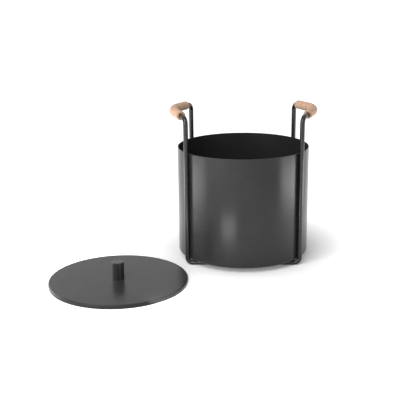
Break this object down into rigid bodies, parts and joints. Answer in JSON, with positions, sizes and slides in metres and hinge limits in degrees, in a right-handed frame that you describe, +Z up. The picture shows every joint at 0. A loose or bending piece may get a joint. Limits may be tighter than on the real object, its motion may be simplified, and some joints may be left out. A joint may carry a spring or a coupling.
{
  "type": "kindling bucket",
  "caption": "Round sheet-steel kindling bucket standing in a frame of bent round rod with bowed, leather-sleeved side handles; its flat knobbed lid lies beside it.",
  "frame": {"origin": "middle of the bucket's inside floor, on the bucket's axis; the surface that the object stands on is 11.8 mm below it", "axes": "+Z up along the bucket's axis, -X and +X towards the two handles, -Y towards the front, the side seen in the picture"},
  "size_m": [0.5488, 0.4665, 0.3266],
  "materials": {
    "charcoal_paint": "satin powder coat on sheet steel, charcoal grey",
    "rod_paint": "satin powder coat on round steel bar, near black",
    "natural_leather": "smooth vegetable-tanned leather, pale tan, edge-stitched",
    "zinc_plate": "bright zinc-plated steel fastener"
  },
  "bodies": {
    "bucket": {"bucket_base": "charcoal_paint", "bucket_wall": "charcoal_paint", "wall_seam_weld": "charcoal_paint", "front_frame_rod": "rod_paint", "rear_frame_rod": "rod_paint", "base_weld_front_left": "rod_paint", "base_weld_front_right": "rod_paint", "base_weld_rear_left": "rod_paint", "base_weld_rear_right": "rod_paint", "wall_weld_front_left_lower": "rod_paint", "wall_weld_front_left_upper": "rod_paint", "wall_weld_front_right_lower": "rod_paint", "wall_weld_front_right_upper": "rod_paint", "wall_weld_rear_left_lower": "rod_paint", "wall_weld_rear_left_upper": "rod_paint", "wall_weld_rear_right_lower": "rod_paint", "wall_weld_rear_right_upper": "rod_paint", "left_handle_weld": "rod_paint", "right_handle_weld": "rod_paint", "left_grip": "natural_leather", "right_grip": "natural_leather"},
    "lid": {"lid_plate": "charcoal_paint", "lid_knob": "rod_paint", "knob_washer": "zinc_plate", "knob_screw": "zinc_plate"}
  },
  "joints": [
    {"name": "lid_lift", "type": "slide", "parent": "bucket", "child": "lid", "axis": [0, 0, 1], "range_m": [0, 0.34]}
  ]
}
